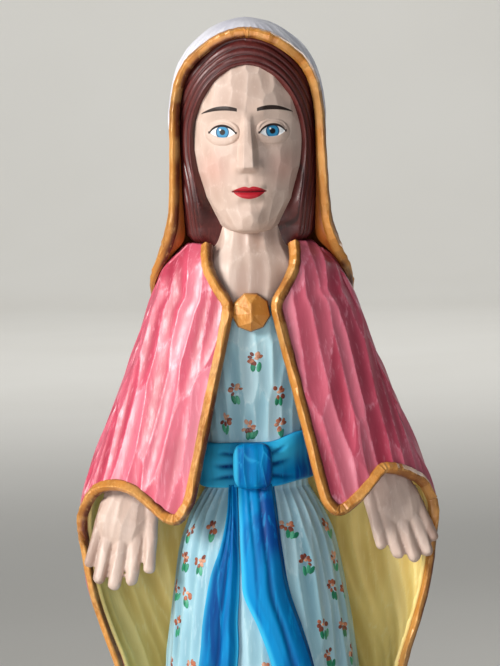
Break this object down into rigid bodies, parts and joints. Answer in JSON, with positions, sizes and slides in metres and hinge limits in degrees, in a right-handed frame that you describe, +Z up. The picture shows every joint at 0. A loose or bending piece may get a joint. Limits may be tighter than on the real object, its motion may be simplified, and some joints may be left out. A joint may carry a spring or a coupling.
{
  "type": "madonna statue",
  "caption": "Standing carved and painted wooden madonna in veil, mantle and sashed dress, hands lowered at the sides, on a round plinth.",
  "frame": {"origin": "centre of the round felt pad's underside, on the surface that the statue stands on", "axes": "+Z up, the figure faces -Y, and its left hand is on +X"},
  "size_m": [0.1102, 0.088, 0.3],
  "materials": {
    "plinth_wood": "stained and waxed",
    "felt": "wool felt",
    "screw_steel": "zinc plated",
    "dress_paint": "painted light blue with small flowers, satin",
    "dowel_wood": "bare beech",
    "sash_paint": "painted blue, satin",
    "mantle_paint": "painted pink over gouge marks, satin",
    "lining_paint": "painted pale yellow, satin",
    "gold_paint": "painted gold, glossy",
    "skin_paint": "painted flesh colour, satin",
    "hair_paint": "painted maroon brown, satin",
    "veil_paint": "painted white over gouge marks, satin"
  },
  "bodies": {
    "root": {"plinth": "plinth_wood", "plinth_felt": "felt", "plinth_screws": "screw_steel", "skirt": "dress_paint", "bodice": "dress_paint", "waist_dowel": "dowel_wood", "sash_band": "sash_paint", "sash_knot": "sash_paint", "sash_tail_left": "sash_paint", "sash_tail_right": "sash_paint", "mantle_back": "mantle_paint", "mantle_front_left": "mantle_paint", "mantle_front_right": "mantle_paint", "mantle_lining": "lining_paint", "mantle_trim_left": "gold_paint", "mantle_trim_right": "gold_paint", "arm_left": "dress_paint", "arm_right": "dress_paint", "shoulder_dowels": "dowel_wood", "hand_left": "skin_paint", "hand_right": "skin_paint", "wrist_peg_left": "dowel_wood", "wrist_peg_right": "dowel_wood", "brooch": "gold_paint", "brooch_pin": "dowel_wood", "head": "skin_paint", "neck_dowel": "dowel_wood", "hair": "hair_paint", "veil": "veil_paint", "veil_trim": "gold_paint"}
  },
  "joints": []
}
